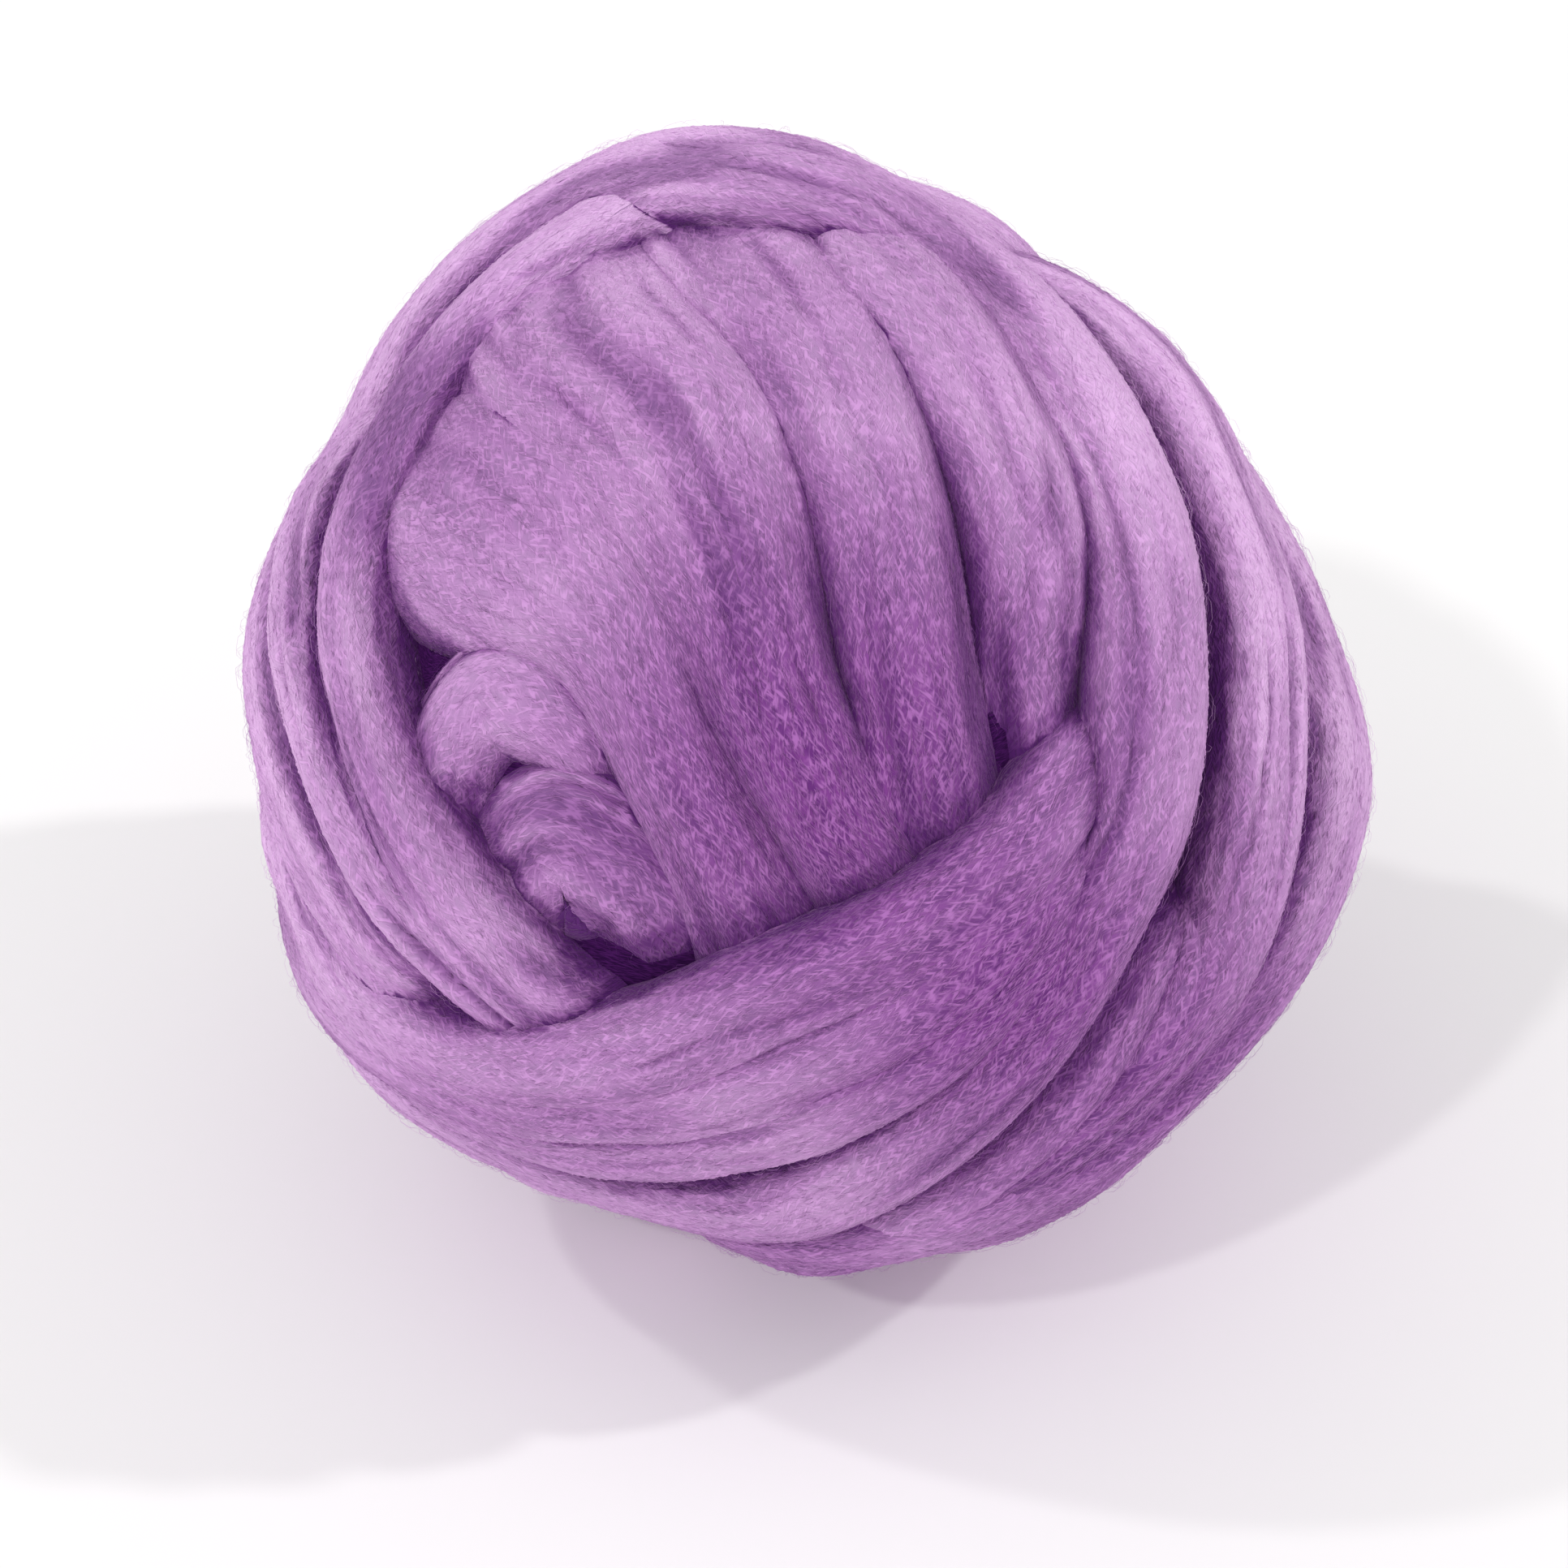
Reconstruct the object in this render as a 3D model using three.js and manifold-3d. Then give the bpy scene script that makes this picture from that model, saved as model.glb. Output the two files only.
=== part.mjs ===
// Roving yarn: a soft ball of combed wool roving wound in broad turns that overlap.
// Units are millimetres and +Z is up. The ball rests on a small flat spot.
// Its open face, where older turns show inside a rim of newer ones, looks towards -Y
// and leans back.
import * as THREE from 'three';
import { mergeVertices } from 'three/addons/utils/BufferGeometryUtils.js';
import Module from 'manifold-3d';

// Wool
const WOOL_COLOUR = 0xb084bf;
const WOOL_ROUGHNESS = 0.95;

// Winding
const FACE_LEAN = 35; // degrees the open face is tipped up from level
const CORE_RADIUS = 64; // wool below all the turns
const TURN_DEPTH = 9; // drop from the crest of a turn to its edges
const TURN_FULLNESS = 2.4; // 2 is an elliptic section, more is flatter on top
const CREASE_SOFTNESS = 0.45; // how far crossing turns melt together
const STEP_ANGLE = 2.2; // degrees between sections along a turn

// Flat spot
const REST_HEIGHT = 71.6; // from the middle of the winding down to the flat

// Facets
const BALL_DETAIL = 23; // rows in each of the twenty faces of the starting sphere
const FACE_CROWDING = 0.2; // how much closer together facets lie on the open face
const CREASE_HALVINGS = 7;
const LONGEST_SLIDE = 0.51; // of a facet edge
const THINNEST_FACET = 0.1; // of the facet's area before its corners slide

// Each turn is a table with a row for each place its crest passes.
// Columns: azimuth (degrees, 0 at the middle of the open face, + to the right of it),
// elevation (degrees, + towards the upper edge of the face), radius of the crest, width.
// Both ends of a turn dip under its neighbours.
const TURNS = {
  // older turns that fan across the open face
  fan_left: [
    [-76, 30, 60, 44], [-54, 28, 68, 46], [-30, 18, 69.8, 38], [-19, 8, 70, 23],
    [-12, -6, 69.5, 18], [-5, -21, 67.5, 22], [0, -35, 65.5, 24], [6, -47, 58, 20],
  ],
  fan_wide: [
    [-85, 66, 60, 40], [-56, 56, 69, 44], [-34, 44, 70, 42], [-16, 31, 70.6, 36],
    [-7, 16, 70.8, 27], [-2, 2, 70.8, 21], [3, -9, 69.5, 19], [9, -19, 67, 19],
    [18, -34, 60, 18],
  ],
  fan_middle: [
    [-80, 80, 60, 26], [-34, 74, 69.5, 30], [-10, 60, 70.8, 30], [4, 40, 71, 26],
    [9.5, 22, 71, 22], [12, 5, 70.5, 21], [17, -13, 67, 21], [26, -29, 60, 18],
  ],
  fan_right: [
    [0, 80, 66, 22], [16, 55, 72, 26], [24, 36, 72, 24], [27, 20, 70.5, 22],
    [27, 4, 67, 20], [29, -8, 64.5, 22], [33, -20, 58, 20],
  ],
  knuckle_upper: [
    [-57, -27, 58, 16], [-45, -14, 65, 18], [-41, -4, 67.5, 19], [-34, 2, 68.5, 19],
    [-27, 1, 68, 19], [-21, -4, 66, 16], [-18, -13, 58, 15],
  ],
  knuckle_lower: [
    [-55, -32, 58, 24], [-34, -19, 65.5, 29], [-26, -15, 67.5, 31], [-19, -19, 66.8, 31],
    [-14, -30, 63, 28], [-12, -38, 58, 22],
  ],
  // left rim of the face
  rim_second: [
    [-34, -48, 62, 12], [-37, -33, 71, 12], [-46, -22, 73, 12], [-54, -10, 73, 12],
    [-61, 1, 73, 12], [-69, 12, 73, 13], [-76, 25, 72.5, 14], [-79, 37, 69, 14],
    [-80, 50, 60, 12],
  ],
  rim_inner: [
    [-16, -36, 60, 14], [-28, -33, 69.5, 14], [-37, -24, 72, 15], [-44, -13, 73, 15],
    [-50, -1, 73, 15], [-55, 12, 73, 15], [-58, 26, 73, 15], [-59, 40, 73, 15],
    [-55, 54, 74, 15], [-44, 65, 74.5, 15], [-14, 69, 72.5, 13], [19, 72, 66, 12],
  ],
  // the long outer turn: up the left, over the top, down the right, under and round the back
  long_outer: [
    [-45, -40, 60, 20], [-53, -31, 71, 20], [-62, -20, 72.5, 20], [-71, -8, 73, 20],
    [-78, 5, 74, 20], [-83, 18, 73, 20], [-85, 32, 71.5, 21], [-81, 45, 75, 21],
    [-75, 58, 77.5, 21], [-62, 67, 79, 22], [-30, 71, 79.5, 22], [6, 67, 78, 23],
    [28, 61, 74, 23], [37, 48, 72.5, 21], [40, 30, 73, 20], [40, 14, 74.5, 19],
    [38, 0, 76, 19], [37, -10, 76, 18], [33, -21, 75.5, 18], [27, -35, 75.5, 20],
    [16, -50, 75, 22], [-3, -62, 74, 22], [-35, -64, 71.5, 20], [-65, -52, 73, 20],
    [-90, -37, 75.2, 20], [-113, -21, 74.5, 22], [-135, -5, 75, 24], [-157, 9, 75, 24],
    [179, 20, 74.5, 24], [155, 27, 71, 22], [138, 30, 60, 18],
  ],
  // sling: strands that cross the lower part of the face and run on round the back
  sling_rim: [
    [42, -8, 66, 9], [33, -15, 74, 10], [22, -29, 75.5, 12], [7, -41, 75.5, 13],
    [-12, -48, 74.5, 15], [-35, -51, 73, 16], [-56, -41, 75.5, 15], [-73, -31, 76, 15],
    [-92, -16, 72.5, 17], [-114, 1, 73.5, 20], [-137, 17, 74.5, 22], [-160, 29, 75, 22],
    [174, 38, 74, 22], [150, 42, 70, 20], [134, 43, 60, 16],
  ],
  sling_second: [
    [43, -2, 60, 10], [32, -10, 70, 12], [25, -18, 74, 14], [12, -30, 75.3, 16],
    [-4, -38, 75, 16], [-24, -43, 74, 16], [-45, -42, 74.5, 15], [-63, -31, 74.5, 14],
    [-78, -18, 72.5, 14], [-94, -3, 71.5, 17], [-114, 14, 72.5, 20], [-137, 31, 74, 22],
    [-164, 44, 74.5, 22], [164, 52, 73, 20], [138, 54, 66, 18], [122, 52, 60, 14],
  ],
  sling_inner: [
    [45, 4, 60, 14], [32, -4, 70, 13], [24, -13, 73.5, 14], [12, -22, 74.5, 15],
    [-3, -29, 74.8, 15], [-18, -36, 74.3, 15], [-35, -38, 74, 14], [-50, -36, 74, 14],
    [-63, -29, 73.2, 14], [-73, -17, 72, 13], [-84, -3, 70.5, 14], [-98, 13, 71, 18],
    [-116, 30, 72.5, 22], [-142, 46, 74, 24], [-176, 58, 74, 24], [150, 64, 72, 22],
    [120, 64, 62, 16],
  ],
  // right flank of the ball
  flank: [
    [20, 72, 62, 16], [45, 64, 68, 20], [62, 52, 71, 22], [65, 38, 71.5, 22],
    [61, 24, 71.8, 22], [59, 12, 73.5, 22], [57, 0, 75, 22], [57, -12, 75.5, 21],
    [58, -24, 75, 18], [55, -34, 75, 16], [49, -44, 75, 16], [36, -58, 75, 16],
    [0, -78, 74, 15], [-60, -78, 68, 14],
  ],
  flank_fold_upper: [
    [66, -8, 58, 11], [56, -18, 68.5, 12], [53, -29, 72.5, 13], [49, -41, 73.5, 13],
    [42, -54, 73, 13], [30, -66, 68, 12],
  ],
  flank_fold_lower: [
    [66, -12, 58, 12], [53, -22, 67, 13], [46, -30, 71, 14], [42, -42, 73.3, 16],
    [36, -55, 74, 16], [20, -67, 74.5, 16], [-10, -80, 73, 16], [-80, -78, 66, 14],
  ],
  flank_outer: [
    [62, 66, 62, 22], [75, 48, 70.5, 24], [79, 30, 68.8, 28], [80, 12, 72.5, 26],
    [79, -6, 77, 22], [74, -24, 77, 22], [65, -40, 76, 22], [50, -56, 75.8, 22],
    [10, -70, 75.2, 20], [-50, -72, 70, 18],
  ],
  // back of the ball
  back_first: [
    [66, 74, 60, 20], [92, 54, 70.5, 22], [98, 30, 70.5, 25], [99, 5, 74.5, 26],
    [95, -20, 75.5, 26], [84, -44, 74.5, 25], [52, -66, 75.5, 22], [-20, -80, 68, 18],
  ],
  back_second: [
    [80, 84, 62, 20], [112, 62, 71, 24], [118, 34, 72.5, 27], [119, 5, 75, 27],
    [115, -24, 75.5, 27], [102, -50, 75, 26], [60, -74, 73, 22], [-30, -86, 62, 18],
  ],
  back_third: [
    [150, 80, 62, 20], [137, 60, 71, 26], [138, 32, 73, 27], [139, 4, 74.5, 27],
    [135, -26, 75, 27], [122, -54, 74.5, 26], [60, -84, 71, 20],
  ],
  back_fourth: [
    [175, 66, 60, 22], [160, 46, 70, 26], [160, 20, 72, 26], [160, -6, 74, 26],
    [156, -34, 74, 28], [138, -62, 74, 26], [60, -88, 66, 20],
  ],
  back_left: [
    [-30, -84, 64, 20], [-78, -66, 70.5, 22], [-112, -48, 73.5, 26], [-138, -29, 74.5, 27],
    [-160, -12, 74.5, 27], [178, 0, 73, 24], [160, 8, 64, 20],
  ],
  back_low: [
    [-90, -84, 66, 20], [-130, -66, 73.5, 27], [-158, -46, 74.5, 28], [-177, -28, 74.5, 28],
    [167, -14, 72, 24], [152, -6, 62, 20],
  ],
  crown_front: [
    [-100, 8, 60, 16], [-107, 27, 71, 20], [-109, 46, 73.5, 22], [-104, 65, 74, 22],
    [-84, 82, 74.5, 23], [66, 81, 71.5, 23], [62, 66, 68, 20], [54, 55, 60, 16],
  ],
  crown_back: [
    [-122, 42, 60, 20], [-128, 58, 72.5, 23], [-140, 73, 74, 24], [140, 84, 74.5, 25],
    [96, 76, 73, 24], [84, 62, 69.5, 22], [80, 50, 60, 18],
  ],
  // broad flat layers under the flank, the back, the crown and the foot
  under_flank: [
    [58, 60, 60, 30], [70, 40, 67.5, 40], [73, 15, 68.8, 40], [73, -10, 68.8, 38],
    [70, -32, 62, 30],
  ],
  under_back: [
    [-104, 0, 64, 50], [-140, 0, 71, 90], [180, 0, 71.5, 100], [140, 0, 71, 90],
    [104, 0, 64, 50],
  ],
  under_crown: [
    [-100, 60, 66, 40], [-150, 78, 71, 46], [140, 78, 70, 46], [88, 60, 64, 40],
  ],
  under_foot: [
    [-75, -68, 66, 36], [-150, -66, 73.4, 60], [180, -55, 73.6, 64], [150, -56, 73.4, 60],
    [70, -70, 68, 40],
  ],
};

// Neighbouring turns that lie side by side melt together further than turns that cross.
const NEIGHBOURS = [
  { softness: 1.1, turns: ['fan_left', 'fan_wide', 'fan_middle'] },
  { softness: 1, turns: ['rim_second', 'rim_inner'] },
  { softness: 1.2, turns: ['sling_rim', 'sling_second', 'sling_inner'] },
];

function direction(azimuth, elevation) {
  const a = THREE.MathUtils.degToRad(azimuth);
  const e = THREE.MathUtils.degToRad(elevation);
  return new THREE.Vector3(Math.sin(a) * Math.cos(e), Math.sin(e), Math.cos(a) * Math.cos(e));
}

// A smooth line through the rows of a turn, as evenly spaced sections.
// Each section has its place on the unit ball, the way the turn runs, its side, crest and width.
function sectionsOf(rows) {
  const knots = rows.map(([azimuth, elevation, crest, width]) => {
    const d = direction(azimuth, elevation);
    return [d.x, d.y, d.z, crest, width];
  });
  const gaps = [];
  for (let i = 0; i < knots.length - 1; i += 1) {
    const from = new THREE.Vector3(...knots[i].slice(0, 3));
    const to = new THREE.Vector3(...knots[i + 1].slice(0, 3));
    gaps.push(from.angleTo(to));
  }
  const slopes = gaps.map((gap, i) => knots[i].map((value, k) => (knots[i + 1][k] - value) / gap));
  const tangents = knots.map((knot, i) => {
    if (i === 0) return slopes[0];
    if (i === knots.length - 1) return slopes[i - 1];
    const before = gaps[i - 1];
    const after = gaps[i];
    return knot.map((_, k) => (after * slopes[i - 1][k] + before * slopes[i][k]) / (before + after));
  });
  const sections = [];
  gaps.forEach((gap, i) => {
    const count = Math.max(2, Math.round(THREE.MathUtils.radToDeg(gap) / STEP_ANGLE));
    const last = i === gaps.length - 1 ? count : count - 1;
    for (let j = 0; j <= last; j += 1) {
      const u = j / count;
      const values = knots[i].map((value, k) => (2 * u ** 3 - 3 * u ** 2 + 1) * value
        + (u ** 3 - 2 * u ** 2 + u) * gap * tangents[i][k]
        + (3 * u ** 2 - 2 * u ** 3) * knots[i + 1][k]
        + (u ** 3 - u ** 2) * gap * tangents[i + 1][k]);
      const place = new THREE.Vector3(values[0], values[1], values[2]).normalize();
      sections.push({ place, crest: values[3], width: values[4] });
    }
  });
  sections.forEach((section, i) => {
    const before = sections[Math.max(i - 1, 0)].place;
    const after = sections[Math.min(i + 1, sections.length - 1)].place;
    section.along = after.clone().sub(before).normalize();
    section.side = section.place.clone().cross(section.along).normalize();
  });
  return sections;
}

// Height of a turn over the middle of the ball, across its width (0 at the crest, 1 at an edge).
function sectionHeight(crest, across) {
  const x = across ** TURN_FULLNESS;
  return crest - TURN_DEPTH * (x / 2 + x ** 2 / 8 + (3 * x ** 3) / 8);
}

function heightOfTurn(sections, d) {
  let nearest = 0;
  let best = -2;
  sections.forEach((section, i) => {
    const dot = section.place.dot(d);
    if (dot > best) {
      best = dot;
      nearest = i;
    }
  });
  const section = sections[nearest];
  const reach = Math.acos(Math.min(best, 1)) * section.crest;
  if (reach > section.width / 2 + 3) return 0;
  const ahead = Math.asin(d.dot(section.along));
  const aside = Math.asin(d.dot(section.side));
  const neighbour = sections[nearest + Math.sign(ahead)];
  let { crest, width } = section;
  let offset = Math.abs(aside);
  if (neighbour) {
    const share = Math.min(Math.abs(ahead) / section.place.angleTo(neighbour.place), 1);
    crest += (neighbour.crest - crest) * share;
    width += (neighbour.width - width) * share;
  } else {
    offset = Math.hypot(aside, ahead);
  }
  const across = (offset * crest) / (width / 2);
  return across < 1 ? sectionHeight(crest, across) : 0;
}

// The height of several turns that melt together.
function melted(heights, softness) {
  const sum = heights.reduce((total, h) => total + Math.exp((h - REST_HEIGHT) / softness), 0);
  return REST_HEIGHT + softness * Math.log(sum);
}

// The wound surface in one direction: its radius, which is the height of the highest turn with
// softened creases, and which turn that is.
const wound = Object.entries(TURNS).map(([name, rows]) => ({
  sections: sectionsOf(rows),
  neighbours: NEIGHBOURS.findIndex(({ turns }) => turns.includes(name)),
}));
function surfaceAt(d) {
  const heights = [CORE_RADIUS];
  const sideBySide = NEIGHBOURS.map(() => []);
  let highest = CORE_RADIUS;
  let owner = -1;
  wound.forEach(({ sections, neighbours }, turn) => {
    const height = heightOfTurn(sections, d);
    if (height === 0) return;
    (sideBySide[neighbours] ?? heights).push(height);
    if (height > highest) {
      highest = height;
      owner = turn;
    }
  });
  sideBySide.forEach((some, i) => {
    if (some.length > 0) heights.push(melted(some, NEIGHBOURS[i].softness));
  });
  return { radius: melted(heights, CREASE_SOFTNESS), owner };
}

// A sphere of even facets, drawn closer together towards the middle of the open face.
const sphere = new THREE.IcosahedronGeometry(1, BALL_DETAIL);
sphere.deleteAttribute('normal');
sphere.deleteAttribute('uv');
const ball = mergeVertices(sphere, 1e-6);
const positions = ball.getAttribute('position');
const corners = ball.getIndex().array;
const spots = [];
for (let i = 0; i < positions.count; i += 1) {
  const spot = new THREE.Vector3().fromBufferAttribute(positions, i).normalize();
  const off = Math.acos(THREE.MathUtils.clamp(spot.z, -1, 1));
  const drawn = off - FACE_CROWDING * Math.sin(off);
  const level = Math.hypot(spot.x, spot.y) || 1;
  const spread = Math.sin(drawn) / level;
  spots.push(new THREE.Vector3(spot.x * spread, spot.y * spread, Math.cos(drawn)));
}

// Facet corners that lie near a crease are slid onto it, so that the creases stay sharp.
// The crease is found by halving each facet edge that runs from one turn to another.
const owners = spots.map((spot) => surfaceAt(spot).owner);
const slides = new Map();
function offerSlide(corner, place, distance) {
  const known = slides.get(corner);
  if (!known || distance < known.distance) slides.set(corner, { place, distance });
}
for (let t = 0; t < corners.length; t += 3) {
  for (let k = 0; k < 3; k += 1) {
    const i = corners[t + k];
    const j = corners[t + ((k + 1) % 3)];
    if (i < j && owners[i] !== owners[j]) {
      let low = 0;
      let high = 1;
      for (let n = 0; n < CREASE_HALVINGS; n += 1) {
        const middle = (low + high) / 2;
        const place = spots[i].clone().lerp(spots[j], middle).normalize();
        if (surfaceAt(place).owner === owners[i]) low = middle;
        else high = middle;
      }
      const place = spots[i].clone().lerp(spots[j], (low + high) / 2).normalize();
      if (low < 0.5) offerSlide(i, place, low);
      else offerSlide(j, place, 1 - low);
    }
  }
}
const slid = spots.map((spot, i) => {
  const slide = slides.get(i);
  return slide && slide.distance < LONGEST_SLIDE ? slide.place : spot;
});

// A slide that would leave a facet too thin is taken back.
function facetSpread(points, t) {
  const [a, b, c] = [points[corners[t]], points[corners[t + 1]], points[corners[t + 2]]];
  const normal = b.clone().sub(a).cross(c.clone().sub(a));
  return normal.dot(a);
}
for (let pass = 0; pass < 6; pass += 1) {
  for (let t = 0; t < corners.length; t += 3) {
    if (facetSpread(slid, t) < THINNEST_FACET * facetSpread(spots, t)) {
      for (let k = 0; k < 3; k += 1) slid[corners[t + k]] = spots[corners[t + k]];
    }
  }
}

// Each corner moves out to the wound surface, and the ball leans back.
const lean = new THREE.Matrix4().makeRotationX(THREE.MathUtils.degToRad(90 - FACE_LEAN));
slid.forEach((spot, i) => {
  const place = spot.clone().multiplyScalar(surfaceAt(spot).radius).applyMatrix4(lean);
  positions.setXYZ(i, place.x, place.y, place.z);
});

// The flat spot is cut level.
const manifold = await Module();
manifold.setup();
const { Manifold, Mesh } = manifold;
const full = new Manifold(new Mesh({
  numProp: 3,
  vertProperties: new Float32Array(positions.array),
  triVerts: new Uint32Array(corners),
}));
const rested = full.trimByPlane([0, 0, 1], -REST_HEIGHT);

// Stand the ball over the origin with its flat spot at z = 0.
const box = rested.boundingBox();
const seated = rested.translate([
  -(box.min[0] + box.max[0]) / 2,
  -(box.min[1] + box.max[1]) / 2,
  -box.min[2],
]);
const result = seated.getMesh();
const geometry = new THREE.BufferGeometry();
geometry.setAttribute('position', new THREE.BufferAttribute(new Float32Array(result.vertProperties), 3));
geometry.setIndex(new THREE.BufferAttribute(new Uint32Array(result.triVerts), 1));
geometry.computeVertexNormals();

const wool = new THREE.MeshStandardMaterial({ color: WOOL_COLOUR, roughness: WOOL_ROUGHNESS });
wool.name = 'wool';
const mesh = new THREE.Mesh(geometry, wool);
mesh.name = 'ball';

const group = new THREE.Group();
group.name = 'roving_yarn';
group.add(mesh);
export default group;
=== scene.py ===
# %% [markdown]
# # A ball of wool roving
# Roving is wool that has been combed until its fibres lie side by side and then drawn out
# into one thick, soft rope. It isn't twisted like yarn, so each turn of the ball spreads
# flat where it lies, swells where nothing presses on it and shows its fibres everywhere.
#
# This lesson builds the ball in four layers: a core that shows only at the bottom of a few
# gaps, the broad turns with their lengthwise folds, the fibres that lie on them, and the
# loose ones that stand off.

# %% Load the frame
import math

import bmesh
import bpy
import numpy as np
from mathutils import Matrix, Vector
from mathutils.bvhtree import BVHTree


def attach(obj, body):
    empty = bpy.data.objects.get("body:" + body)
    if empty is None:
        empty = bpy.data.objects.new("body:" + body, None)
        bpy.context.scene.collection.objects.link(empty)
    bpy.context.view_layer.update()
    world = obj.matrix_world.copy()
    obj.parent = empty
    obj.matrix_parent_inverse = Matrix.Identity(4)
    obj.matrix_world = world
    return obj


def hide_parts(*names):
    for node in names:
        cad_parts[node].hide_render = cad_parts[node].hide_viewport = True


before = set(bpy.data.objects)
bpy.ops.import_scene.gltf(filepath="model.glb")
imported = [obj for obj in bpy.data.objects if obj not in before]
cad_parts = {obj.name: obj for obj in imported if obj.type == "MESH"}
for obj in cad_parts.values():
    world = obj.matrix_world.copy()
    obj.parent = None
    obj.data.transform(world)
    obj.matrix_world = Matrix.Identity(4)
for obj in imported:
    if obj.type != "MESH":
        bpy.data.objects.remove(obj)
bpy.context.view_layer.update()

MM = 0.001

# %% [markdown]
# ## The winding
# A turn is described by the places that its crest passes on the way round the ball: an
# azimuth and an elevation in degrees, seen from the middle of the ball with the open face
# straight ahead, the height of the crest over that middle and the width of the turn. A
# smooth line through those rows is the turn's path. Both of its ends dip to 60 mm, where
# its neighbours cover them. The table is the one that the solid ball was made from, so
# each turn lands where its solid form is. Simulating the winding would also work, but then
# no turn would lie where the real one does.

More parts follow.
